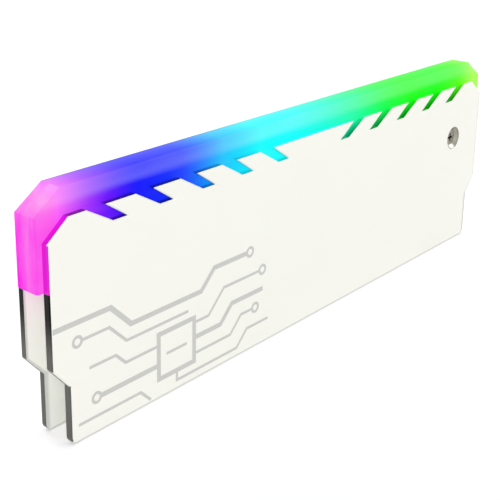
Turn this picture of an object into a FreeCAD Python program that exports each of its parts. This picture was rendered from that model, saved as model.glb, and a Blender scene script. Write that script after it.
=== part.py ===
"""Clamp-on heat spreader for a memory module: two notched aluminium plates with a lit bar between them.

Lengths are in millimetres. X runs along the module, Y through its thickness with the front plate at low Y,
and Z is up. The origin is at the middle of the bottom, level with the plates' lower edges.
"""
import FreeCAD, Part
import math
import os

# Plates
plate_length = 136.0
plate_height = 39.7
plate_thickness = 1.3
edge_break = 0.2
corner_cut_along = 4.4
corner_cut_down = 3.5

# Narrower lower part, which clears the latches of the module's slot
step_inset = 3.4
step_start_height = 10.9
step_end_height = 14.9
step_corner_radius = 0.8
foot_corner_radius = 1.5

# Slanted notches in the top edge
notch_count = 5
first_notch_from_end = 8.1
last_notch_from_middle = 8.55
notch_mouth = 4.0
notch_floor = 3.15
notch_depth = 3.2
notch_slant = 5.6

# Space between the plates
gap = 5.1

# Light bar
bar_rise = 4.5
bar_reach = 1.2
bar_corner_cut_along = 5.4
bar_corner_cut_down = 3.7
bar_edge_cut = 0.35
bar_below_notch = 1.9
bar_leg_width = 4.4
bar_leg_below_plate_top = 11.7
bar_inner_radius = 0.6

# Screws and standoffs
screw_from_end = 12.0
screw_below_top = 12.7
screw_radius = 1.25
screw_hole_clearance = 0.2
countersink_radius = 2.75
head_sink = 0.85
head_clearance = 0.03
recess_span = 2.0
recess_width = 0.5
recess_depth = 0.55
thread_clearance = 0.05
standoff_radius = 2.5
standoff_floor = 0.6
screw_tip_clearance = 0.4
mouth_clearance = 0.1
spigot_radius = 1.8
spigot_length = 0.6
press_clearance = 0.02

# Thermal pads
pad_thickness = 0.5
pad_from_end = 10.5
pad_bottom = 2.5
pad_below_standoff = 1.0

# Light strip
board_thickness = 1.0
board_side_clearance = 0.2
board_end_clearance = 0.2
led_count = 12
led_from_board_end = 5.5
led_length = 3.5
led_width = 2.8
led_height = 1.9
led_window_radius = 1.1
led_window_depth = 0.35
groove_side_clearance = 0.3
groove_end_clearance = 2.2
groove_head_room = 0.6
capacitor_length = 1.6
capacitor_width = 0.8
capacitor_height = 0.8
capacitor_cap = 0.3
capacitor_waist = 0.04
capacitor_from_led = 0.9

# Colour controller under the board
chip_from_middle = 22.0
chip_length = 2.9
chip_width = 1.6
chip_height = 1.1
chip_lead_count = 3
chip_lead_pitch = 0.95
chip_lead_width = 0.4
chip_lead_reach = 0.6
chip_lead_thickness = 0.2

# Socket for the lead, under the board
socket_length = 5.0
socket_width = 2.9
socket_height = 4.0
socket_wall = 0.5
socket_floor = 0.8
socket_from_board_end = 0.4
key_slot_width = 2.4
pin_count = 3
pin_pitch = 1.0
pin_size = 0.3
pin_length = 2.6

# Places that follow from the sizes above
half_length = plate_length / 2
inner_face = gap / 2
outer_face = inner_face + plate_thickness
notch_floor_height = plate_height - notch_depth
notch_row = half_length - first_notch_from_end - last_notch_from_middle
notch_pitch = (notch_row - notch_slant - notch_floor) / (notch_count - 1)
bar_half = half_length + bar_reach
bar_top = plate_height + bar_rise
bar_underside = notch_floor_height - bar_below_notch
bar_leg_end = plate_height - bar_leg_below_plate_top
screw_x = half_length - screw_from_end
screw_z = plate_height - screw_below_top
screw_hole_radius = screw_radius + screw_hole_clearance
board_half = bar_half - bar_leg_width - bar_inner_radius - board_end_clearance
board_bottom = bar_underside - board_thickness
first_led = board_half - led_from_board_end
led_pitch = 2 * first_led / (led_count - 1)


def point(x, y, z):
    """A point of the model."""
    return FreeCAD.Vector(x, y, z)


def block(length, width, height, centre_x, centre_y, bottom):
    """A box centred on a point of X and Y, standing on a height."""
    corner = point(centre_x - length / 2, centre_y - width / 2, bottom)
    return Part.makeBox(length, width, height, corner)


def rounded_face(corners, y):
    """A flat face in one plane of Y, from (x, z, radius) corners, with an arc where the radius is not 0."""
    starts = []
    ends = []
    arcs = []
    count = len(corners)
    for i in range(count):
        x, z, radius = corners[i]
        here = point(x, y, z)
        if radius == 0:
            starts.append(here)
            ends.append(here)
            continue
        last = corners[i - 1]
        following = corners[(i + 1) % count]
        back = (point(last[0], y, last[1]) - here).normalize()
        ahead = (point(following[0], y, following[1]) - here).normalize()
        half_angle = back.getAngle(ahead) / 2
        reach = radius / math.tan(half_angle)
        middle = here + (back + ahead).normalize() * (radius / math.sin(half_angle) - radius)
        starts.append(here + back * reach)
        ends.append(here + ahead * reach)
        arcs.append(Part.Arc(starts[-1], middle, ends[-1]).toShape())
    lines = [Part.makeLine(ends[i], starts[(i + 1) % count]) for i in range(count)]
    wire = Part.Wire(Part.__sortEdges__(lines + arcs))
    return Part.Face(wire)


def extruded(corners, low_y, high_y):
    """A plate of one outline between two values of Y."""
    return rounded_face(corners, low_y).extrude(point(0, high_y - low_y, 0))


def mirrored_corners(right_half):
    """A whole outline from the corners of its right half, listed from the lowest to the highest."""
    left_half = [(-x, z, radius) for x, z, radius in reversed(right_half)]
    return right_half + left_half


def half_turn(shape):
    """The same piece turned half a turn about the vertical axis, for the other side of the spreader."""
    turned = shape.copy()
    turned.rotate(point(0, 0, 0), point(0, 0, 1), 180)
    return turned


def round_bar(radius, low_y, high_y, x, z):
    """A cylinder along Y between two values of Y."""
    return Part.makeCylinder(radius, high_y - low_y, point(x, low_y, z), point(0, 1, 0))


def funnel(low_radius, high_radius, low_y, high_y, x, z):
    """A cone along Y between two values of Y."""
    height = high_y - low_y
    return Part.makeCone(low_radius, high_radius, height, point(x, low_y, z), point(0, 1, 0))


def notch_cutter(index, side):
    """A slanted notch, counted from the end that side points to, leaning to the middle as it goes down."""
    mouth_outer = half_length - first_notch_from_end - index * notch_pitch
    floor_outer = mouth_outer - notch_slant
    floor_inner = floor_outer - notch_floor
    mouth_inner = mouth_outer - notch_mouth
    above = bar_rise / notch_depth
    corners = [
        (side * (mouth_outer + notch_slant * above), plate_height + bar_rise, 0),
        (side * floor_outer, notch_floor_height, 0),
        (side * floor_inner, notch_floor_height, 0),
        (side * (mouth_inner + (mouth_inner - floor_inner) * above), plate_height + bar_rise, 0),
    ]
    return extruded(corners, -outer_face - plate_thickness, -inner_face + plate_thickness)


def make_plate():
    """The front plate: stepped outline, notches, broken outer edge, screw hole and standoff pocket."""
    right_half = [
        (half_length - step_inset, 0, foot_corner_radius),
        (half_length - step_inset, step_start_height, 0),
        (half_length, step_end_height, step_corner_radius),
        (half_length, plate_height - corner_cut_down, 0),
        (half_length - corner_cut_along, plate_height, 0),
    ]
    plate = extruded(mirrored_corners(right_half), -outer_face, -inner_face)
    cutters = [notch_cutter(i, side) for side in (-1, 1) for i in range(notch_count)]
    plate = plate.cut(cutters)
    outer_edges = [e for e in plate.Edges if abs(e.CenterOfMass.y + outer_face) < edge_break / 2]
    plate = plate.makeChamfer(edge_break, outer_edges)
    cone_end = -outer_face + countersink_radius - screw_hole_radius
    hole = round_bar(screw_hole_radius, -outer_face, -inner_face, screw_x, screw_z)
    countersink = funnel(countersink_radius, screw_hole_radius, -outer_face, cone_end, screw_x, screw_z)
    pocket_start = -inner_face - spigot_length - press_clearance
    pocket = round_bar(spigot_radius + press_clearance, pocket_start, -inner_face, -screw_x, screw_z)
    return plate.cut([hole, countersink, pocket])


def make_screw():
    """The countersunk screw of the front plate, with a cross recess in its head."""
    head_top = -outer_face + head_sink
    head_radius = countersink_radius - head_sink - head_clearance
    neck = head_top + head_radius - screw_radius
    tip = inner_face - standoff_floor - screw_tip_clearance
    head = funnel(head_radius, screw_radius, head_top, neck, screw_x, screw_z)
    shank = round_bar(screw_radius, neck, tip, screw_x, screw_z)
    recess_centre = head_top + recess_depth / 2
    recess_bottom = screw_z - recess_span / 2
    slot_bottom = screw_z - recess_width / 2
    upright = block(recess_width, recess_depth, recess_span, screw_x, recess_centre, recess_bottom)
    level = block(recess_span, recess_depth, recess_width, screw_x, recess_centre, slot_bottom)
    return head.fuse(shank).removeSplitter().cut([upright, level])


def make_standoff():
    """The threaded standoff that the front screw pulls on, pressed blind into the back plate."""
    body = round_bar(standoff_radius, -inner_face, inner_face, screw_x, screw_z)
    spigot = round_bar(spigot_radius, inner_face, inner_face + spigot_length, screw_x, screw_z)
    bore_radius = screw_radius + thread_clearance
    bore = round_bar(bore_radius, -inner_face, inner_face - standoff_floor, screw_x, screw_z)
    widest = max(screw_hole_radius, countersink_radius - plate_thickness)
    mouth_radius = widest + mouth_clearance
    mouth_end = -inner_face + mouth_radius - bore_radius
    mouth = funnel(mouth_radius, bore_radius, -inner_face, mouth_end, screw_x, screw_z)
    return body.fuse(spigot).cut([bore, mouth])


def make_pad():
    """The thermal pad on the inner face of the front plate, below the standoffs."""
    length = plate_length - 2 * pad_from_end
    top = screw_z - standoff_radius - pad_below_standoff
    centre_y = -inner_face + pad_thickness / 2
    return block(length, pad_thickness, top - pad_bottom, 0, centre_y, pad_bottom)


def make_light_bar():
    """The milky bar between the plates: a beam with a leg at each end and a groove for the lights."""
    leg_inside = bar_half - bar_leg_width
    right_half = [
        (leg_inside, bar_underside, bar_inner_radius),
        (leg_inside, bar_leg_end, 0),
        (bar_half, bar_leg_end, 0),
        (bar_half, bar_top - bar_corner_cut_down, 0),
        (bar_half - bar_corner_cut_along, bar_top, 0),
    ]
    bar = extruded(mirrored_corners(right_half), -inner_face, inner_face)
    rim = []
    for edge in bar.Edges:
        centre = edge.CenterOfMass
        on_side = abs(abs(centre.y) - inner_face) < bar_edge_cut / 2
        beyond_plates = abs(centre.x) > bar_half - bar_corner_cut_along or centre.z > plate_height
        inside_corner = abs(centre.x) < leg_inside + bar_leg_width / 4 and centre.z < plate_height
        if on_side and beyond_plates and not inside_corner and centre.z > bar_leg_end + bar_edge_cut:
            rim.append(edge)
    bar = bar.makeChamfer(bar_edge_cut, rim)
    groove_length = 2 * first_led + led_length + 2 * groove_end_clearance
    groove_width = led_width + 2 * groove_side_clearance
    groove_height = led_height + groove_head_room
    groove = block(groove_length, groove_width, groove_height, 0, 0, bar_underside)
    return bar.cut(groove)


def make_board():
    """The circuit strip, glued under the beam of the light bar."""
    width = gap - 2 * board_side_clearance
    return block(2 * board_half, width, board_thickness, 0, 0, board_bottom)


def make_led(x):
    """One square light-emitting diode on the board, with a round window."""
    body = block(led_length, led_width, led_height, x, 0, bar_underside)
    window_bottom = bar_underside + led_height - led_window_depth
    window = Part.makeCylinder(led_window_radius, led_window_depth, point(x, 0, window_bottom))
    return body.cut(window)


def make_capacitor(x):
    """One small capacitor on the board, with its two metal end caps a little thicker than its body."""
    body_length = capacitor_length - 2 * capacitor_cap
    body_width = capacitor_width - 2 * capacitor_waist
    body_height = capacitor_height - 2 * capacitor_waist
    body = block(body_length, body_width, body_height, x, 0, bar_underside + capacitor_waist)
    cap_shift = (capacitor_length - capacitor_cap) / 2
    caps = [
        block(capacitor_cap, capacitor_width, capacitor_height, x + side * cap_shift, 0, bar_underside)
        for side in (-1, 1)
    ]
    return body.fuse(caps)


def make_driver_chip():
    """The colour controller, hanging under the board on two rows of bent leads."""
    lift = chip_lead_thickness
    body_bottom = board_bottom - chip_height
    body = block(chip_length, chip_width, chip_height - lift, chip_from_middle, 0, body_bottom)
    foot_width = chip_lead_reach + lift
    leads = []
    for row in (-1, 1):
        for i in range(chip_lead_count):
            x = chip_from_middle + (i - (chip_lead_count - 1) / 2) * chip_lead_pitch
            foot_y = row * (chip_width / 2 + foot_width / 2)
            shoulder_y = row * (chip_width / 2 + lift / 2)
            leg_height = chip_height / 2
            foot = block(chip_lead_width, foot_width, lift, x, foot_y, board_bottom - lift)
            leg = block(chip_lead_width, lift, leg_height, x, shoulder_y, board_bottom - leg_height)
            leads += [foot, leg]
    return body.fuse(leads).removeSplitter()


def make_socket():
    """The housing of the socket, open at the bottom, with a key slot in its front wall."""
    centre_x = board_half - socket_from_board_end - socket_length / 2
    bottom = board_bottom - socket_height
    housing = block(socket_length, socket_width, socket_height, centre_x, 0, bottom)
    cavity_length = socket_length - 2 * socket_wall
    cavity_width = socket_width - 2 * socket_wall
    cavity_height = socket_height - socket_floor
    cavity = block(cavity_length, cavity_width, cavity_height, centre_x, 0, bottom)
    slot_y = -socket_width / 2
    slot = block(key_slot_width, 2 * socket_wall, cavity_height, centre_x, slot_y, bottom)
    return housing.cut([cavity, slot])


def make_socket_pins():
    """The contact pins in the socket, each its own solid."""
    centre_x = board_half - socket_from_board_end - socket_length / 2
    bottom = board_bottom - socket_floor - pin_length
    pins = []
    for i in range(pin_count):
        x = centre_x + (i - (pin_count - 1) / 2) * pin_pitch
        pins.append(block(pin_size, pin_size, pin_length, x, 0, bottom))
    return Part.makeCompound(pins)


def make_nodes():
    """Every piece of the spreader by its name."""
    front_plate = make_plate()
    front_screw = make_screw()
    right_standoff = make_standoff()
    front_pad = make_pad()
    nodes = {
        "front_plate": front_plate,
        "back_plate": half_turn(front_plate),
        "light_bar": make_light_bar(),
        "front_screw": front_screw,
        "back_screw": half_turn(front_screw),
        "right_standoff": right_standoff,
        "left_standoff": half_turn(right_standoff),
        "front_pad": front_pad,
        "back_pad": half_turn(front_pad),
        "led_board": make_board(),
        "driver_chip": make_driver_chip(),
        "power_socket": make_socket(),
        "socket_pins": make_socket_pins(),
    }
    capacitor_shift = led_length / 2 + capacitor_from_led + capacitor_length / 2
    for i in range(led_count):
        x = -first_led + i * led_pitch
        nodes[f"led_{i + 1:02d}"] = make_led(x)
        toward_middle = 1 if x < 0 else -1
        nodes[f"capacitor_{i + 1:02d}"] = make_capacitor(x + toward_middle * capacitor_shift)
    return nodes


os.makedirs("parts", exist_ok=True)
for name, shape in make_nodes().items():
    if not shape.isValid():
        raise RuntimeError("invalid shape: " + name)
    shape.exportStep(f"parts/{name}.step")
    print(name, len(shape.Solids), round(shape.Volume, 2))
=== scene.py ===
# %% [markdown]
# A clamp-on heat spreader for a computer's memory module: two white coated aluminium plates, two
# screws, and a milky plastic bar between the plates that glows in a run of colours. The solids come
# from the CAD model at their real size, so this lesson never moves or reshapes them. It gives each
# one a finish, adds the print and the gel in the lights, and sets up the floor, the light and the
# camera.

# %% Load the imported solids
import math

import bmesh
import bpy
from mathutils import Matrix, Vector


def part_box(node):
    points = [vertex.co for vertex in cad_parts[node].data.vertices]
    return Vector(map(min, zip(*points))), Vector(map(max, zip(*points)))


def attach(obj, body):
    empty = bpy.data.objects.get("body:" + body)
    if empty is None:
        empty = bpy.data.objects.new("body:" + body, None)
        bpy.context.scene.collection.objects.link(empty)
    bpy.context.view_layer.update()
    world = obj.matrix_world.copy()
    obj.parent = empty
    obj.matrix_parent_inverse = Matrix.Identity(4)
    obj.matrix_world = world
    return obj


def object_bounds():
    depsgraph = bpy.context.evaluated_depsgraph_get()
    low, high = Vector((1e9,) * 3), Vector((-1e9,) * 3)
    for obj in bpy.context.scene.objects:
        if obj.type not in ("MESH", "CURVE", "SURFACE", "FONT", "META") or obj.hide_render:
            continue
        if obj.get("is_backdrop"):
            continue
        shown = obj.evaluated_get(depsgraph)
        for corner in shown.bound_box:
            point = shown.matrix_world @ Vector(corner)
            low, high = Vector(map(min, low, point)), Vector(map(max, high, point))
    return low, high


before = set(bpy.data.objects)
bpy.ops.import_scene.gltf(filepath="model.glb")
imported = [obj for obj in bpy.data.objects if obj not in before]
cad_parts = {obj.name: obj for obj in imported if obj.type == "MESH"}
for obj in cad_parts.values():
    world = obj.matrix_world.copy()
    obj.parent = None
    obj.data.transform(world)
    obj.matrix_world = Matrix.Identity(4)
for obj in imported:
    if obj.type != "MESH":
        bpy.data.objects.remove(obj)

cad_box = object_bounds()
middle = (cad_box[0] + cad_box[1]) / 2
mm = 0.001


def box_mm(name):
    """The lowest and the highest corner of a CAD solid, in millimetres."""
    return [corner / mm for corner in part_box(name)]


print("solids:", len(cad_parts))
print("size in mm:", [round(side / mm, 2) for side in cad_box[1] - cad_box[0]])

# %% [markdown]
# Every finish here is worked out from where a point lies on the object, so most of the shader is
# arithmetic. It could be wired node by node, but that hides the sum in a long list of links.
# Instead one small class wraps a socket, and its operators add the Math nodes, so a mask reads like
# the formula that it is.

# %% A socket that can be added, multiplied and compared
class Value:
    """The output of a shader node, which arithmetic turns into further nodes."""

    def __init__(self, nodes, socket):
        self.nodes = nodes
        self.socket = socket

    def maths(self, operation, first, second):
        return self.nodes.add("ShaderNodeMath", {"operation": operation}, {0: first, 1: second})

    def __add__(self, other):
        return self.maths("ADD", self, other)

    def __radd__(self, other):
        return self.maths("ADD", other, self)

    def __sub__(self, other):
        return self.maths("SUBTRACT", self, other)

    def __rsub__(self, other):
        return self.maths("SUBTRACT", other, self)

    def __mul__(self, other):
        return self.maths("MULTIPLY", self, other)

    def __rmul__(self, other):
        return self.maths("MULTIPLY", other, self)

    def __abs__(self):
        return self.maths("ABSOLUTE", self, 0.0)

    def __gt__(self, other):
        return self.maths("GREATER_THAN", self, other)

    def __lt__(self, other):
        return self.maths("LESS_THAN", self, other)


print("a socket now takes +, -, *, abs(), > and <")

# %% [markdown]
# All other nodes come from one method, which takes the node's type, its settings and what goes into
# its sockets. The settings are set first, because some of them decide which sockets a node has. The
# short methods under it are the few kinds of node that nearly every finish needs.

# %% The node tree of one finish
class Nodes:
    """The shader nodes of a material or of the world."""

    def __init__(self, tree):
        self.tree = tree
        tree.nodes.clear()

    def add(self, kind, settings, sockets, output=0):
        """Adds a node: its settings, then the value or link of each socket. Returns an output."""
        made = self.tree.nodes.new(kind)
        for name, setting in settings.items():
            if name == "stops":
                self.set_stops(made.color_ramp.elements, setting)
            else:
                setattr(made, name, setting)
        for key, given in sockets.items():
            if isinstance(given, Value):
                self.tree.links.new(given.socket, made.inputs[key])
            else:
                made.inputs[key].default_value = given
        return Value(self, made.outputs[output]) if made.outputs else None

    def set_stops(self, elements, stops):
        """Gives a colour ramp its stops, each a place from 0 to 1 and a colour."""
        while len(elements) < len(stops):
            elements.new(1.0)
        for element, (place, colour) in zip(elements, stops):
            element.position = place
            element.color = (*colour, 1.0)

    def parts(self, vector):
        """The X, Y and Z of a vector."""
        split = self.add("ShaderNodeSeparateXYZ", {}, {0: vector}).socket.node
        return [Value(self, socket) for socket in split.outputs]

    def stretch(self, place, factors):
        """Coordinates that draw a pattern out along each axis with a factor below 1."""
        return self.add("ShaderNodeVectorMath", {"operation": "MULTIPLY"}, {0: place, 1: factors})

    def rise(self, value, low, high):
        """A soft step from 0 at low to 1 at high."""
        settings = {"interpolation_type": "SMOOTHSTEP"}
        sockets = {"Value": value, "From Min": low, "From Max": high}
        return self.add("ShaderNodeMapRange", settings, sockets)

    def either(self, first, second):
        """The larger of two values, which joins two masks."""
        return self.add("ShaderNodeMath", {"operation": "MAXIMUM"}, {0: first, 1: second})

    def sine(self, angle):
        """A wave."""
        return self.add("ShaderNodeMath", {"operation": "SINE"}, {0: angle})

    def distance(self, across, up):
        """How far a point is from an axis."""
        squares = across * across + up * up
        return self.add("ShaderNodeMath", {"operation": "SQRT"}, {0: squares})

    def noise(self, place, scale, detail=2.0, roughness=0.5):
        """Soft cloudy noise around 0.5, so many blotches to the metre."""
        sockets = {"Vector": place, "Scale": scale, "Detail": detail, "Roughness": roughness}
        return self.add("ShaderNodeTexNoise", {}, sockets)

    def blend(self, factor, first, second):
        """One colour passing into another."""
        settings = {"data_type": "RGBA", "clamp_factor": True}
        colours = [c if isinstance(c, Value) else (*c, 1.0) for c in (first, second)]
        sockets = {0: factor, 6: colours[0], 7: colours[1]}
        return self.add("ShaderNodeMix", settings, sockets, output=2)

    def bump(self, height, depth, strength=1.0):
        """A relief of a real depth in metres, for a shader's Normal."""
        sockets = {"Height": height, "Distance": depth, "Strength": strength}
        return self.add("ShaderNodeBump", {}, sockets)


print("one method adds any node, and short methods add the common ones")

# %% [markdown]
# A finish needs the same few facts each time: the point's place in millimetres and which way its
# face looks. The object sits at the origin, so its Object coordinates are the real places. One more
# class gathers them and ends in the Principled shader, where everything that is the same all over
# the surface is set as a plain number.

# %% The start and the end of a finish
class Finish(Nodes):
    """A material being made, with the places and directions that its masks are drawn from."""

    def __init__(self, name):
        self.material = bpy.data.materials.new(name)
        self.material.use_nodes = True
        super().__init__(self.material.node_tree)
        self.place = self.add("ShaderNodeTexCoord", {}, {}, output="Object")
        self.x, self.y, self.z = [part * (1 / mm) for part in self.parts(self.place)]
        normal = self.add("ShaderNodeNewGeometry", {}, {}, output="Normal")
        self.facing_x, self.facing_y, self.facing_z = self.parts(normal)

    def finish(self, **sockets):
        """Closes the tree with one Principled shader. A _ stands for a space in a name."""
        named = {name.replace("_", " "): given for name, given in sockets.items()}
        shader = self.add("ShaderNodeBsdfPrincipled", {}, named)
        self.add("ShaderNodeOutputMaterial", {}, {"Surface": shader})
        return self.material


black = (0.0, 0.0, 0.0)
white = (1.0, 1.0, 1.0)


def colour(red, green, blue):
    """A colour as a screen gives it, from 0 to 255, in the linear light that shaders work in."""
    shares = [part / 255 for part in (red, green, blue)]
    return tuple(s / 12.92 if s <= 0.04045 else ((s + 0.055) / 1.055) ** 2.4 for s in shares)


def between(share, first, second):
    """A number that goes from the first to the second as the share goes from 0 to 1."""
    return first + (second - first) * share


def dress(material, *names):
    """Gives one finish to several CAD solids."""
    for name in names:
        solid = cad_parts[name].data
        solid.materials.clear()
        solid.materials.append(material)
    print(material.name, "on", ", ".join(names))


print("middle grey in linear light:", round(colour(128, 128, 128)[0], 3))

# %% [markdown]
# The camera stands to the left, in front and a little above, as in the photograph. Its place and
# its turns were worked out from the corners of the plates, whose real places are known. The upright
# edges stay nearly parallel in the photograph, which takes a small downward shift of the lens on
# top of the tilt.

# %% Camera
camera_place = Vector((-160.35, -119.99, 95.87)) * mm
camera_yaw = -50.28
camera_tilt = -16.84
camera_roll = 1.03
camera_lens = 74.7
camera_shift_down = 0.2
sensor_width = 36.0
level = 90.0

camera_data = bpy.data.cameras.new("camera")
camera_data.lens = camera_lens
camera_data.sensor_width = sensor_width
camera_data.shift_y = -camera_shift_down
camera = bpy.data.objects.new("camera", camera_data)
bpy.context.scene.collection.objects.link(camera)
camera.matrix_world = Matrix.Translation(camera_place)
for axis, angle in (("Z", camera_yaw), ("X", level + camera_tilt), ("Z", camera_roll)):
    camera.matrix_world = camera.matrix_world @ Matrix.Rotation(math.radians(angle), 4, axis)
bpy.context.scene.camera = camera
bpy.context.scene.view_settings.view_transform = "Standard"
print("camera", round((camera_place - middle).length, 3), "m from the middle")

# %% [markdown]
# The photograph was taken on pure white. A white world lights the object evenly from all sides.
# What the camera and the reflections see of it is brighter, at 1, which is white on the screen.
# Making the light itself that bright would wash out the white plates.

# %% World light
sky_light = 0.58
world = bpy.data.worlds.new("studio")
bpy.context.scene.world = world
world.use_nodes = True
sky = Nodes(world.node_tree)


def seen_directly(nodes):
    """1 for rays from the camera, a reflection or a clear material, and 0 for lighting rays."""
    rays = nodes.add("ShaderNodeLightPath", {}, {}).socket.node.outputs
    kinds = ("Is Camera Ray", "Is Glossy Ray", "Is Transmission Ray")
    seen = [Value(nodes, rays[kind]) for kind in kinds]
    return (seen[0] + seen[1] + seen[2]) > 0.5


sky_strength = sky_light + (1 - sky_light) * seen_directly(sky)
sky_sockets = {"Color": (*white, 1.0), "Strength": sky_strength}
background = sky.add("ShaderNodeBackground", {}, sky_sockets)
sky.add("ShaderNodeOutputWorld", {}, {"Surface": background})
print("world light:", sky_light, "and 1 where it is seen")

# %% [markdown]
# An even white light alone would make all faces of a white object alike. Three large soft lamps add
# the slight difference between a face that looks up or forward and one that looks away. They stand
# a metre off and more, so that their shadows stay soft.

# %% Lamps
lamp_side = 0.7


def soft_lamp(name, place, power):
    """A large square lamp that looks at the middle of the object."""
    light = bpy.data.lights.new(name, "AREA")
    light.shape = "SQUARE"
    light.size = lamp_side
    light.energy = power
    lamp = bpy.data.objects.new(name, light)
    bpy.context.scene.collection.objects.link(lamp)
    lamp.location = place
    lamp.rotation_euler = (middle - Vector(place)).to_track_quat("-Z", "Y").to_euler()
    print(name, "of", power, "W at", place)


soft_lamp("key_lamp", place=(-1.1, -0.95, 0.7), power=9.5)
soft_lamp("fill_lamp", place=(1.0, -0.9, 0.6), power=4.7)
soft_lamp("back_lamp", place=(0.2, 1.2, 0.8), power=8.0)

# %% [markdown]
# The floor is a plain white sheet. It is a matt surface, so that it catches the soft shadow under
# the plates, and what the camera sees of it is raised a little to reach the white of the
# background. Far away, where the lamps hardly reach, it is raised more, or else a grey band would
# show at the horizon of a low view.

# %% Floor
floor_half = 3.0
corner_signs = [(-1, -1), (1, -1), (1, 1), (-1, 1)]
floor_corners = [(x * floor_half, y * floor_half, cad_box[0].z) for x, y in corner_signs]
floor_mesh = bpy.data.meshes.new("floor")
floor_mesh.from_pydata(floor_corners, [], [(0, 1, 2, 3)])
floor = bpy.data.objects.new("floor", floor_mesh)
bpy.context.scene.collection.objects.link(floor)
floor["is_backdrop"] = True
print("floor:", 2 * floor_half, "m wide at", round(cad_box[0].z, 4), "m")

# %% Floor paint
floor_white = 0.8
floor_lift = 0.32
far_lift = 0.24
near = 0.3
far = 1.4

floor_paint = bpy.data.materials.new("floor_paint")
floor_paint.use_nodes = True
paint = Nodes(floor_paint.node_tree)
matt = paint.add("ShaderNodeBsdfDiffuse", {}, {"Color": (*[floor_white] * 3, 1.0)})
floor_place = paint.add("ShaderNodeTexCoord", {}, {}, output="Object")
from_object = paint.add(
    "ShaderNodeVectorMath", {"operation": "LENGTH"}, {0: floor_place}, output="Value"
)
floor_glow = (floor_lift + far_lift * paint.rise(from_object, near, far)) * seen_directly(paint)
raised = paint.add("ShaderNodeEmission", {}, {"Color": floor_glow})
floor_surface = paint.add("ShaderNodeAddShader", {}, {0: matt, 1: raised})
paint.add("ShaderNodeOutputMaterial", {}, {"Surface": floor_surface})
floor_mesh.materials.append(floor_paint)
print("nodes in the floor paint:", len(paint.tree.nodes))

# %% [markdown]
# The object is lit by itself as well. Under the milky bar sits a row of small lights, and each
# burns in the next hue of the rainbow, as their controller tells them. Between two lights the
# plastic mixes their colours. The bar, the lights and the bare edges beside the bar all need this
# run of hues, so it comes first. A ramp of the hue angle is turned into a colour afterwards,
# because mixed angles stay bright where mixed colours would turn dull.

# %% The hues along the bar
bar_low, bar_high = box_mm("light_bar")
bar_length = bar_high.x - bar_low.x
led_names = sorted(
    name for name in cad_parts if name.startswith("led_") and name != "led_board"
)
led_boxes = [box_mm(name) for name in led_names]
light_places = [(low.x + high.x) / 2 for low, high in led_boxes]
light_hues = [275.0, 240.0, 230.0, 195.0, 180.0, 180.0, 170.0, 155.0, 135.0, 120.0, 120.0, 105.0]
corner_place = 66.0
corner_hues = (305.0, 85.0)
hue_places = [-corner_place, *light_places, corner_place]
hue_angles = [corner_hues[0], *light_hues, corner_hues[1]]
hue_strength = 0.9
display_gamma = 2.2
green_from = 0.0
green_to = 20.0


def bar_hue(nodes, x):
    """The colour of the light at a place along the bar."""
    places = [(place - bar_low.x) / bar_length for place in hue_places]
    stops = [(place, (angle / 360,) * 3) for place, angle in zip(places, hue_angles)]
    share = (x - bar_low.x) * (1 / bar_length)
    angle = nodes.add("ShaderNodeValToRGB", {"stops": stops}, {"Fac": share})
    pure = nodes.add(
        "ShaderNodeCombineColor", {"mode": "HSV"}, {0: angle, 1: hue_strength, 2: 1.0}
    )
    return nodes.add("ShaderNodeGamma", {}, {"Color": pure, "Gamma": display_gamma})


def green_half(nodes):
    """0 on the magenta and blue side of the middle, and 1 on the green side."""
    return nodes.rise(nodes.x, green_from, green_to)


print("lights on the strip:", len(led_names))
print("first and last in mm:", round(light_places[0], 2), round(light_places[-1], 2))

# %% [markdown]
# The first finish is the one that covers most of the object. The plates are punched from aluminium
# sheet that was coated white beforehand, so their faces are a warm satin white and every cut edge
# is bare metal. Two materials on two sets of faces would do, but the CAD mesh stays as it is, so
# one material tells them apart by direction: a cut edge never looks towards the front or the back.
# The masks are the same for both plates, because the back plate is the front one turned half a
# turn, and a sign turns the sums with it.

# %% Measures that the plate finish needs
plate_low, plate_high = box_mm("front_plate")
screw_low, screw_high = box_mm("front_screw")
screw_x = (screw_low.x + screw_high.x) / 2
screw_z = (screw_low.z + screw_high.z) / 2
countersink_radius = 2.8
step_inset = 3.4
step_low = 10.9
step_high = 14.9
notch_depth = 3.2
plate_top = plate_high.z
leg_end = bar_low.z
print("plate from", round(plate_low.x, 2), "to", round(plate_high.x, 2), "mm")
print("screw at", round(screw_x, 2), round(screw_z, 2), "and leg ends at", round(leg_end, 2), "mm")

# %% Where on its plate a point lies
coat = Finish("white_coating")
side = coat.add("ShaderNodeMath", {"operation": "SIGN"}, {0: coat.y}) * -1.0
facing_in = coat.facing_y * side
from_screw = coat.distance(coat.x - side * screw_x, coat.z - screw_z)
near_screw = from_screw < countersink_radius
print("nodes in the plate finish so far:", len(coat.tree.nodes))

# %% [markdown]
# The punch rolls the outer rim of a cut over, so that the little broken edge there keeps its coat,
# and tears the inner rim, which is bare. The two long ends are sheared in a second stroke and are
# bare on both rims. So is the cone of the countersink, which is cut after coating.

# %% Which points are bare metal
rolled_rim = -0.5
torn_rim = 0.9
flat = 0.9
looks_along = 0.6
end_margin = 0.5
rolled_or_torn = (facing_in > rolled_rim) * (facing_in < torn_rim)
sloping = abs(coat.facing_y) < flat
near_end = abs(coat.x) > plate_high.x - step_inset - end_margin
on_long_end = near_end * (abs(coat.facing_x) > looks_along)
bare = coat.either(rolled_or_torn, on_long_end * sloping)
bare = coat.either(bare, near_screw * sloping)
print("nodes in the plate finish so far:", len(coat.tree.nodes))
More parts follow.
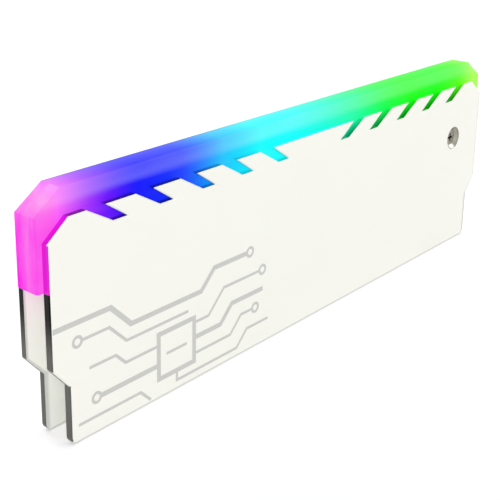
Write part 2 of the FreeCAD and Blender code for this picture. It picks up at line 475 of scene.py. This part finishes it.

# %% [markdown]
# The coat is a sprayed powder. Up close it has a fine orange-peel grain, and over the whole plate
# it varies by a shade. Along the foot and along the end by the screw a grey hair line is painted on
# as shade, where the edge turns away from the light, twice as wide below the step.

# %% The white coat
shade_line_from = 0.16
shade_line_to = 0.64
low_shade_line_from = 0.32
powder = coat.noise(coat.place, scale=2600.0, detail=3.0, roughness=0.6)
cloud = coat.noise(coat.place, scale=45.0)
coat_white = coat.blend(cloud, colour(244, 244, 236), colour(247, 247, 240))

step_sockets = {"Value": coat.z, "From Min": step_low, "From Max": step_high}
step_share = coat.add("ShaderNodeMapRange", {}, step_sockets)
from_end = (plate_high.x - step_inset) + step_inset * step_share - coat.x * side
narrowing = between(step_share, shade_line_from / low_shade_line_from, 1.0)
# Painted shade: a grey hair line along the end and the foot, where the edge turns away from the
# light.
end_shade = 1 - coat.rise(from_end * narrowing, shade_line_from, shade_line_to)
foot_shade = 1 - coat.rise(coat.z, shade_line_from, shade_line_to)
shaded = coat.either(end_shade, foot_shade)
coat_white = coat.blend(shaded, coat_white, colour(204, 205, 201))
print("thin coat up to", shade_line_to, "mm from the foot")

# %% [markdown]
# A sheared edge is dark metal with fine upright drag lines. Just under the end of each leg it is
# painted nearly black as shade, and it lightens downwards. Beside the plastic it is dark again.

# %% Bare edges
black_reach = 3.5
grey_reach = 12.0
seam = 0.15
# Painted shade: the bare edge darkens towards the end of each leg.
shade_under_leg = coat.rise(coat.z, leg_end - grey_reach, leg_end - black_reach)
edge_grey = coat.blend(shade_under_leg, colour(102, 102, 98), colour(27, 28, 27))
beside_bar = coat.rise(coat.z, leg_end - seam, leg_end + seam) * (1 - near_screw)
edge_metal = coat.blend(beside_bar, edge_grey, colour(52, 50, 53))
drag = coat.noise(coat.stretch(coat.place, (1.0, 1.0, 0.06)), scale=9000.0)
print("edges nearly black from", round(leg_end - black_reach, 2), "mm up")

# %% [markdown]
# The cone under the screw head is turned and brighter than a sheared edge. The lowest part of it
# looks up and carries a painted highlight in one spot, and a thin dark line marks its rim.

# %% The cone of the countersink
rim_width = 0.4
rim_soft = 0.15
rim_shade = 0.7
drag_shade = 0.25
# Painted highlight: the part of the cone that looks up, away from its sides, is made nearly white.
looks_up = coat.rise(coat.facing_z, 0.38, 0.64)
looks_sideways = coat.rise(abs(coat.facing_x), 0.15, 0.4)
painted_highlight = looks_up * (1 - looks_sideways)
rim = coat.rise(from_screw, countersink_radius - rim_width, countersink_radius - rim_soft)
cone_metal = coat.blend(painted_highlight, colour(166, 164, 152), colour(250, 250, 244))
cone_metal = coat.blend(rim_shade * rim, cone_metal, colour(138, 136, 127))
edge_metal = coat.blend(near_screw, edge_metal, cone_metal)
edge_metal = coat.blend(drag_shade * drag, edge_metal, black)
print("nodes in the plate finish so far:", len(coat.tree.nodes))

# %% [markdown]
# Beside the bar the edges catch its light: most of it on the side near the plastic, on the two
# ends, along the cyan part of the bar, along the green part of the top, and high on the walls of
# the green notches. Between the two plates the light of the room is thrown to and fro. Rays could
# carry both, but in a gap this narrow they take many bounces and leave grain, so the surfaces get a
# faint glow of their own instead.

# %% Where the edges catch light
across = coat.rise(abs(coat.y), -plate_high.y, -plate_low.y)
on_end = coat.rise(abs(coat.facing_x), 0.57, 0.61)
top_rim = coat.rise(coat.z, plate_top - 0.4, plate_top - 0.1)
green_top = top_rim * coat.rise(coat.x, -30.0, 5.0)
cyan_part = coat.rise(coat.x, -42.0, -22.0) * (1 - coat.rise(coat.x, 0.0, 12.0))
up_the_notch = coat.rise(coat.z, plate_top - notch_depth, plate_top)
green_wall = up_the_notch * green_half(coat)
inner_face = coat.rise(facing_in, 0.92, 0.96)
print("nodes in the plate finish so far:", len(coat.tree.nodes))

# %% The light that the plates catch
lit_near_bar, lit_outside = 0.34, 0.14
end_near_bar, end_outside = 0.45, 0.55
green_top_more = 0.6
cyan_more = 0.3
green_wall_more = 0.5
room_light = (0.09, 0.1, 0.09)
edge_share = between(across, lit_near_bar, lit_outside)
edge_share = edge_share + on_end * between(across, end_near_bar, end_outside)
edge_share = edge_share + green_top_more * green_top + cyan_more * cyan_part
edge_share = edge_share + green_wall_more * green_wall
caught_light = coat.blend(inner_face, black, room_light)
caught_light = coat.blend(bare * beside_bar * edge_share, caught_light, bar_hue(coat, coat.x))
print("nodes in the plate finish so far:", len(coat.tree.nodes))

# %% Coated aluminium
plate_finish = coat.finish(
    Base_Color=coat.blend(bare, coat_white, edge_metal),
    Metallic=bare,
    Roughness=0.46 + 0.1 * powder - 0.16 * bare,
    Emission_Color=caught_light,
    Emission_Strength=1.0,
    Normal=coat.bump(powder * (1 - bare) + drag * bare, 0.01 * mm, 0.35),
)
dress(plate_finish, "front_plate", "back_plate")

# %% [markdown]
# The bar is one milky moulding. Real scattering inside the plastic would need many samples to
# settle, so the surface carries the light itself: the ramp gives the hue, and height and direction
# say how much white the plastic mixes in. Between the plates the colour is deepest, the band above
# them is paler, and its flat top lies between the two. Fine streaks run along it, as the melt did.

# %% White in the band above the plates
band_white = 0.10
top_front_white, top_back_white = 0.02, 0.08
beyond_plate_white = 0.10
streak_white = 0.08
milk = Finish("milky_plastic")
on_top = milk.rise(milk.facing_z, 0.85, 0.95)
streak = milk.noise(milk.stretch(milk.place, (0.12, 1.0, 1.0)), scale=420.0)
upper_band = milk.rise(milk.z, plate_top + 1.0, plate_top + 2.8)
top_lean = milk.rise(milk.y, -1.6, 2.2)
beyond_plate = milk.rise(abs(milk.x), plate_high.x - 11.0, plate_high.x + 1.0)
top_white = between(top_lean, top_front_white, top_back_white)
whiteness = upper_band * between(on_top, band_white, top_white)
whiteness = whiteness + beyond_plate_white * beyond_plate + streak_white * (streak - 0.5)
print("nodes in the bar finish so far:", len(milk.tree.nodes))

# %% [markdown]
# On the legs the melt flowed downwards, so the streaks turn there. A leg's colour is deeper
# towards the back and towards its lower end, and the corner above the magenta leg is the palest
# place of all, because the plastic is thickest there.

# %% White on the legs and the corner
flow_white = 0.26
back_depth, low_back_depth = 0.05, 0.12
corner_face_white = 0.03
pale_corner_white = 0.09
on_end_face = milk.rise(abs(milk.facing_x), 0.3, 0.6)
on_corner = on_end_face * milk.rise(milk.facing_z, 0.3, 0.5)
flow = milk.noise(milk.stretch(milk.place, (1.0, 1.0, 0.12)), scale=620.0)
toward_back = milk.rise(milk.y, -0.5, 2.2)
low_end = 1 - milk.rise(milk.z, leg_end, leg_end + 8.0)
end_white = flow_white * (flow - 0.5) + corner_face_white * on_corner
end_white = end_white - between(low_end, back_depth, low_back_depth) * toward_back
corner_height = milk.rise(milk.z, plate_top - 2.5, plate_top + 3.5)
pale_corner = corner_height * (1 - milk.rise(milk.x, -66.0, -50.0))
whiteness = whiteness + on_end_face * end_white + pale_corner_white * pale_corner
print("nodes in the bar finish so far:", len(milk.tree.nodes))

# %% [markdown]
# Two places are darker than the light alone would make them. In the green notches the plastic lies
# in the shade of their steep walls, and the far rim of the top carries a thin grey line of painted
# shade.

# %% Milky lit plastic
notch_shade = 0.5
rim_shade_line = 0.55
unlit_share = 0.95
glow = milk.blend(whiteness, bar_hue(milk, milk.x), white)
below_top = 1 - milk.rise(milk.z, plate_top - 2.2, plate_top - 0.2)
green_notches = green_half(milk) * (1 - milk.rise(milk.x, 60.0, 61.5))
glow = milk.blend(notch_shade * green_notches * below_top, glow, black)
# Painted shade: a thin grey line along the far rim of the top.
shaded_far_rim = on_top * milk.rise(milk.y, 1.7, 2.2) * (1 - milk.rise(milk.x, -30.0, 20.0))
glow = milk.blend(rim_shade_line * shaded_far_rim, glow, colour(120, 116, 140))
bar_finish = milk.finish(
    Base_Color=milk.blend(unlit_share, glow, black),
    Roughness=0.38 + 0.12 * streak,
    Specular_IOR_Level=0.06,
    Emission_Color=glow,
    Emission_Strength=0.92,
    Normal=milk.bump(milk.noise(milk.place, scale=700.0), 0.02 * mm, 0.25),
)
dress(bar_finish, "light_bar")

# %% [markdown]
# The two screws are small countersunk ones of dark plated steel. Turned heads carry faint rings,
# and the cross recess is darker still because little light gets in. The recess is told apart by its
# depth below the head.

# %% Plated screw steel
rings_per_mm = 60.0
recess_shade = 0.85
steel = Finish("screw_steel")
below_head = steel.rise(-screw_low.y - abs(steel.y), 0.02, 0.12)
grime = steel.noise(steel.place, scale=1500.0, detail=3.0, roughness=0.6)
steel_colour = steel.blend(grime, colour(138, 135, 124), colour(162, 159, 148))
steel_colour = steel.blend(recess_shade * below_head, steel_colour, colour(50, 48, 42))
from_axis = steel.distance(abs(steel.x) - screw_x, steel.z - screw_z)
screw_finish = steel.finish(
    Base_Color=steel_colour,
    Metallic=1.0,
    Roughness=0.3 + 0.15 * grime,
    Normal=steel.bump(steel.sine(from_axis * rings_per_mm), 0.004 * mm, 0.4),
)
dress(screw_finish, "front_screw", "back_screw")

# %% [markdown]
# The standoffs that the screws pull on are turned brass. They sit between the plates, where one
# sees them only from below or from the end, so a warm metal with turning marks along its length is
# enough.

# %% Turned brass
marks_per_mm = 45.0
brass = Finish("standoff_brass")
tarnish = brass.noise(brass.place, scale=600.0, detail=3.0, roughness=0.6)
brass_finish = brass.finish(
    Base_Color=brass.blend(tarnish, colour(214, 178, 104), colour(184, 140, 74)),
    Metallic=1.0,
    Roughness=0.24 + 0.2 * tarnish,
    Normal=brass.bump(brass.sine(brass.y * marks_per_mm), 0.005 * mm, 0.4),
)
dress(brass_finish, "right_standoff", "left_standoff")

# %% [markdown]
# The thermal pads are soft silicone filled with ceramic powder. They are matt and blue-grey, with a
# fine grain and the faint print of the woven liner that they were peeled from.

# %% Filled silicone
threads_per_mm = 9.0
silicone = Finish("thermal_pad")
grain = silicone.noise(silicone.place, scale=4200.0, detail=3.0, roughness=0.7)
weave_x = silicone.sine(silicone.x * threads_per_mm)
weave_z = silicone.sine(silicone.z * threads_per_mm)
silicone_finish = silicone.finish(
    Base_Color=silicone.blend(grain, colour(126, 138, 152), colour(156, 166, 176)),
    Roughness=0.72 + 0.2 * grain,
    Normal=silicone.bump(grain + 0.3 * weave_x * weave_z, 0.03 * mm, 0.5),
)
dress(silicone_finish, "front_pad", "back_pad")

# %% [markdown]
# The light strip is a narrow circuit board with white lacquer, chosen on the real one so that it
# throws the light up into the bar. Copper tracks run under the lacquer as low ridges, and the sawn
# edges show the tan fibreglass.

# %% Lacquered circuit board
board_low, board_high = box_mm("led_board")
track_centre = (board_high.y - board_low.y) / 4
track_half = 0.35
lacquer = Finish("circuit_board")
sawn = abs(lacquer.facing_z) < 0.5
fibres = lacquer.noise(lacquer.place, scale=5000.0, detail=3.0, roughness=0.7)
on_track = abs(abs(lacquer.y) - track_centre) < track_half
lacquer_white = lacquer.blend(on_track, colour(236, 237, 232), colour(222, 226, 216))
fibreglass = lacquer.blend(fibres, colour(196, 182, 128), colour(164, 148, 98))
lacquer_finish = lacquer.finish(
    Base_Color=lacquer.blend(sawn, lacquer_white, fibreglass),
    Roughness=0.32 + 0.4 * sawn + 0.1 * fibres,
    Normal=lacquer.bump(on_track * (1 - sawn) + 0.2 * fibres, 0.03 * mm, 0.6),
)
dress(lacquer_finish, "led_board")

# %% [markdown]
# On the strip sit the small parts. The light housings are white heat-proof plastic. The capacitors
# are brown ceramic with tinned ends, the controller is black epoxy on tinned leads, and the socket
# is ivory nylon with tinned pins. Body and metal are told apart by how far a point lies from the
# middle of its own piece.

# %% Housings of the lights
housing = Finish("led_body")
mould_grain = housing.noise(housing.place, scale=3000.0)
housing_finish = housing.finish(
    Base_Color=housing.blend(mould_grain, colour(226, 226, 220), colour(238, 238, 232)),
    Roughness=0.42 + 0.15 * mould_grain,
    Normal=housing.bump(mould_grain, 0.01 * mm, 0.3),
)
dress(housing_finish, *led_names)

# %% Capacitors
tinned_from = 0.31
capacitor_names = sorted(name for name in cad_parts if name.startswith("capacitor_"))
ceramic = Finish("ceramic_chip")
own_place = ceramic.add("ShaderNodeTexCoord", {}, {}, output="Generated")
tinned_end = abs(ceramic.parts(own_place)[0] - 0.5) > tinned_from
speckle = ceramic.noise(ceramic.place, scale=9000.0, roughness=0.6)
ceramic_body = ceramic.blend(speckle, colour(128, 96, 66), colour(154, 120, 86))
ceramic_finish = ceramic.finish(
    Base_Color=ceramic.blend(tinned_end, ceramic_body, colour(206, 206, 204)),
    Metallic=tinned_end,
    Roughness=0.5 - 0.2 * tinned_end + 0.15 * speckle,
    Normal=ceramic.bump(speckle, 0.008 * mm, 0.4),
)
dress(ceramic_finish, *capacitor_names)

# %% Controller chip
body_half = 0.82
epoxy = Finish("chip_plastic")
tinned_lead = abs(epoxy.y) > body_half
moulding = epoxy.noise(epoxy.place, scale=6000.0, detail=3.0, roughness=0.6)
epoxy_black = epoxy.blend(moulding, colour(28, 28, 30), colour(44, 44, 46))
epoxy_finish = epoxy.finish(
    Base_Color=epoxy.blend(tinned_lead, epoxy_black, colour(204, 204, 206)),
    Metallic=tinned_lead,
    Roughness=0.55 - 0.25 * tinned_lead + 0.15 * moulding,
    Normal=epoxy.bump(moulding, 0.012 * mm, 0.4),
)
dress(epoxy_finish, "driver_chip")

# %% Socket and its pins
nylon = Finish("socket_plastic")
nylon_grain = nylon.noise(nylon.place, scale=2500.0)
nylon_finish = nylon.finish(
    Base_Color=nylon.blend(nylon_grain, colour(224, 218, 198), colour(236, 231, 214)),
    Roughness=0.4 + 0.2 * nylon_grain,
    Subsurface_Weight=0.1,
    Normal=nylon.bump(nylon_grain, 0.01 * mm, 0.4),
)
dress(nylon_finish, "power_socket")

tin = Finish("contact_metal")
tin_grain = tin.noise(tin.place, scale=5000.0)
tin_finish = tin.finish(
    Base_Color=tin.blend(tin_grain, colour(214, 212, 206), colour(190, 188, 182)),
    Metallic=1.0,
    Roughness=0.2 + 0.2 * tin_grain,
    Normal=tin.bump(tin_grain, 0.004 * mm, 0.4),
)
dress(tin_finish, "socket_pins")

# %% [markdown]
# The lower left of each plate carries a pattern of thin grey lines, printed on the coat. A mask in
# the plate's shader could draw it, but the lines would be tied to one long formula. Here each line
# is a flat ribbon with the thickness of a thick screen print, built from its corner points, so it
# is real geometry that can be edited. The pattern is a plain circuit layout of its own: a bundle of
# tracks, round eyes where they end, and a chip.

# %% The two sides of a line with mitred corners
sharpest_mitre = 0.3


def mitred_sides(points, width):
    """The two sides of a line of even width, as points beside each corner of its path."""
    left = []
    right = []
    for i, point in enumerate(points):
        before = (point - points[i - 1]).normalized() if i > 0 else None
        after = (points[i + 1] - point).normalized() if i < len(points) - 1 else None
        before = before or after
        after = after or before
        along = (before + after).normalized()
        across = Vector((-along.y, along.x))
        reach = width / 2 / max(along.dot(before), sharpest_mitre)
        left.append(point + across * reach)
        right.append(point - across * reach)
    return left, right


sample_path = [Vector((0.0, 0.0)), Vector((1.0, 0.0)), Vector((1.0, 1.0))]
sample_reach = (mitred_sides(sample_path, 1.0)[0][1] - sample_path[1]).length
print("a right-angled corner reaches", round(sample_reach, 3), "of the width")

# %% A printed line
print_rise = 0.02
plate_face = plate_low.y


def ribbon(mesh, points, width):
    """A closed flat ribbon on the plate's face, along points of (x, z) in millimetres."""
    sides = mitred_sides([Vector(p) for p in points], width)
    back, front = [
        [[mesh.verts.new(Vector((p.x, y, p.y)) * mm) for p in rail] for rail in sides]
        for y in (plate_face, plate_face - print_rise)
    ]
    for i in range(len(points) - 1):
        mesh.faces.new((front[0][i], front[1][i], front[1][i + 1], front[0][i + 1]))
        mesh.faces.new((back[0][i + 1], back[1][i + 1], back[1][i], back[0][i]))
        mesh.faces.new((front[0][i + 1], back[0][i + 1], back[0][i], front[0][i]))
        mesh.faces.new((front[1][i], back[1][i], back[1][i + 1], front[1][i + 1]))
    mesh.faces.new((front[0][0], back[0][0], back[1][0], front[1][0]))
    mesh.faces.new((front[1][-1], back[1][-1], back[0][-1], front[0][-1]))


print("the print stands", print_rise, "mm above the plate's face at", round(plate_face, 2), "mm")

# %% A printed eye
eye_sides = 32


def circle(radius, sides):
    """Points around a circle, as pairs of distances from its middle."""
    turns = [2 * math.pi * i / sides for i in range(sides)]
    return [(radius * math.cos(turn), radius * math.sin(turn)) for turn in turns]


def band(mesh, ring, following):
    """The faces between two rings of as many points."""
    for i, point in enumerate(ring):
        j = (i + 1) % len(ring)
        mesh.faces.new((point, ring[j], following[j], following[i]))


def eye(mesh, x, z, outer, inner):
    """A closed flat ring on the plate's face."""
    rings = []
    for radius, rise in ((outer, 0.0), (outer, print_rise), (inner, print_rise), (inner, 0.0)):
        places = [Vector((x + a, plate_face - rise, z + b)) for a, b in circle(radius, eye_sides)]
        rings.append([mesh.verts.new(place * mm) for place in places])
    for ring, following in zip(rings, rings[1:] + rings[:1]):
        band(mesh, ring, following)


print("sides of an eye:", eye_sides)

# %% The layout of the printed circuit
thin_line = 0.55
bold_line = 0.95
eye_outer = 1.15
eye_inner = 0.6
left_end = plate_low.x + 0.35
tracks = [
    (bold_line, [(left_end, 21.6), (-55.5, 21.6), (-51.0, 17.1), (-33.6, 17.1), (-30.1, 20.6),
                 (-21.15, 20.6)]),
    (thin_line, [(-61.6, 18.2), (-55.9, 18.2), (-52.1, 14.4), (-37.0, 14.4)]),
    (thin_line, [(-60.4, 12.6), (-54.6, 12.6), (-52.4, 10.4), (-45.0, 10.4)]),
    (bold_line, [(-57.85, 6.6), (-45.0, 6.6)]),
    (thin_line, [(-63.0, 3.2), (-49.0, 3.2), (-46.6, 0.8)]),
    (thin_line, [(-35.0, 11.6), (-31.6, 11.6), (-27.4, 15.8), (-17.35, 15.8)]),
    (bold_line, [(-35.0, 8.6), (-28.3, 8.6), (-25.1, 11.8), (-16.0, 11.8)]),
    (thin_line, [(-35.0, 5.4), (-25.5, 5.4), (-22.4, 8.5), (-19.35, 8.5)]),
    (thin_line, [(-40.0, 3.4), (-40.0, 1.9), (-23.6, 1.9), (-20.6, 4.9), (-14.2, 4.9)]),
]
eyes = [(-20.0, 20.6), (-16.2, 15.8), (-18.2, 8.5), (-62.75, 18.2), (-59.0, 6.6)]
chip_left, chip_right = -45.0, -35.0
chip_foot, chip_head = 3.4, 13.0
chip_bar_inset = 2.4
print("tracks:", len(tracks), "eyes:", len(eyes))

# %% Printing the pattern
def chip(mesh):
    """The outline of a chip, as one closed frame with a printed bar inside."""
    inset = bold_line / 2
    for z in (chip_foot + inset, chip_head - inset):
        ribbon(mesh, [(chip_left, z), (chip_right, z)], bold_line)
    for x in (chip_left + inset, chip_right - inset):
        ribbon(mesh, [(x, chip_foot + bold_line), (x, chip_head - bold_line)], bold_line)
    height = (chip_foot + chip_head) / 2
    bar = [(chip_left + chip_bar_inset, height), (chip_right - chip_bar_inset, height)]
    ribbon(mesh, bar, thin_line)


def piece_from(mesh, name):
    """Turns a finished bmesh into an object of the scene."""
    bmesh.ops.recalc_face_normals(mesh, faces=mesh.faces)
    data = bpy.data.meshes.new(name)
    mesh.to_mesh(data)
    mesh.free()
    piece = bpy.data.objects.new(name, data)
    bpy.context.scene.collection.objects.link(piece)
    return piece


def circuit_print(name):
    """The whole pattern on the front plate, as one piece."""
    mesh = bmesh.new()
    for width, points in tracks:
        ribbon(mesh, points, width)
    for x, z in eyes:
        eye(mesh, x, z, eye_outer, eye_inner)
    chip(mesh)
    return piece_from(mesh, name)


front_print = circuit_print("front_print")
back_print = circuit_print("back_print")
back_print.data.transform(Matrix.Rotation(math.pi, 4, "Z"))
print("printed faces on a plate:", len(front_print.data.polygons))

# %% [markdown]
# The ink is a flat grey with the slightly uneven cover of a screen print. Both plates are the same
# part, one of them turned half a turn, so the back plate carries the same print, turned with it.

# %% Ink
ink = Finish("print_ink")
cover = ink.noise(ink.place, scale=1800.0, detail=4.0, roughness=0.65)
ink_finish = ink.finish(
    Base_Color=ink.blend(cover, colour(194, 194, 190), colour(208, 208, 204)),
    Roughness=0.5 + 0.15 * cover,
    Normal=ink.bump(cover, 0.008 * mm, 0.4),
)
for piece in (front_print, back_print):
    piece.data.materials.append(ink_finish)
    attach(piece, "root")
print("ink on", front_print.name, "and", back_print.name)

# %% [markdown]
# In the window of each light lies a drop of clear gel, filled level and slightly sunk in the middle
# as it cured. It is turned from a short profile, and it glows in the hue that the bar has above it.

# %% Shape of the gel
gel_sides = 28
gel_radius = 1.08
gel_foot = -0.33
gel_crown = -0.13
gel_profile = [(gel_radius, gel_foot), (gel_radius, -0.03), (0.7, -0.1)]


def gel_drop(mesh, x, top):
    """One lens of gel, turned about the upright axis of its window."""
    rings = []
    for radius, height in gel_profile:
        places = [Vector((x + a, b, top + height)) for a, b in circle(radius, gel_sides)]
        rings.append([mesh.verts.new(place * mm) for place in places])
    for ring, following in zip(rings, rings[1:]):
        band(mesh, ring, following)
    foot = mesh.verts.new(Vector((x, 0.0, top + gel_foot)) * mm)
    crown = mesh.verts.new(Vector((x, 0.0, top + gel_crown)) * mm)
    for i in range(gel_sides):
        j = (i + 1) % gel_sides
        mesh.faces.new((foot, rings[0][j], rings[0][i]))
        mesh.faces.new((rings[-1][i], rings[-1][j], crown))


gel_mesh = bmesh.new()
for place, (low, high) in zip(light_places, led_boxes):
    gel_drop(gel_mesh, place, high.z)
led_gel = piece_from(gel_mesh, "led_gel")
led_gel.data.shade_smooth()
print("gel drops:", len(light_places), "with", len(led_gel.data.polygons), "faces")

# %% Clear lit gel
gel = Finish("led_gel")
gel_hue = bar_hue(gel, gel.x)
gel_cloud = gel.noise(gel.place, scale=2500.0)
led_gel.data.materials.append(gel.finish(
    Base_Color=gel.blend(0.4 + 0.2 * gel_cloud, gel_hue, white),
    Roughness=0.1 + 0.1 * gel_cloud,
    Emission_Color=gel.blend(0.35, gel_hue, white),
    Emission_Strength=1.5,
))
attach(led_gel, "root")
print("nodes in the gel finish:", len(gel.tree.nodes))

# %% [markdown]
# Last, the box of the dressed object is measured against the box of the solids, because looks may
# not change the object's size, and the scene is closed.

# %% Measure and finish
visual_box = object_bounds()
growth = (visual_box[1] - visual_box[0]) - (cad_box[1] - cad_box[0])
print("growth over the solids in mm:", [round(side / mm, 3) for side in growth])
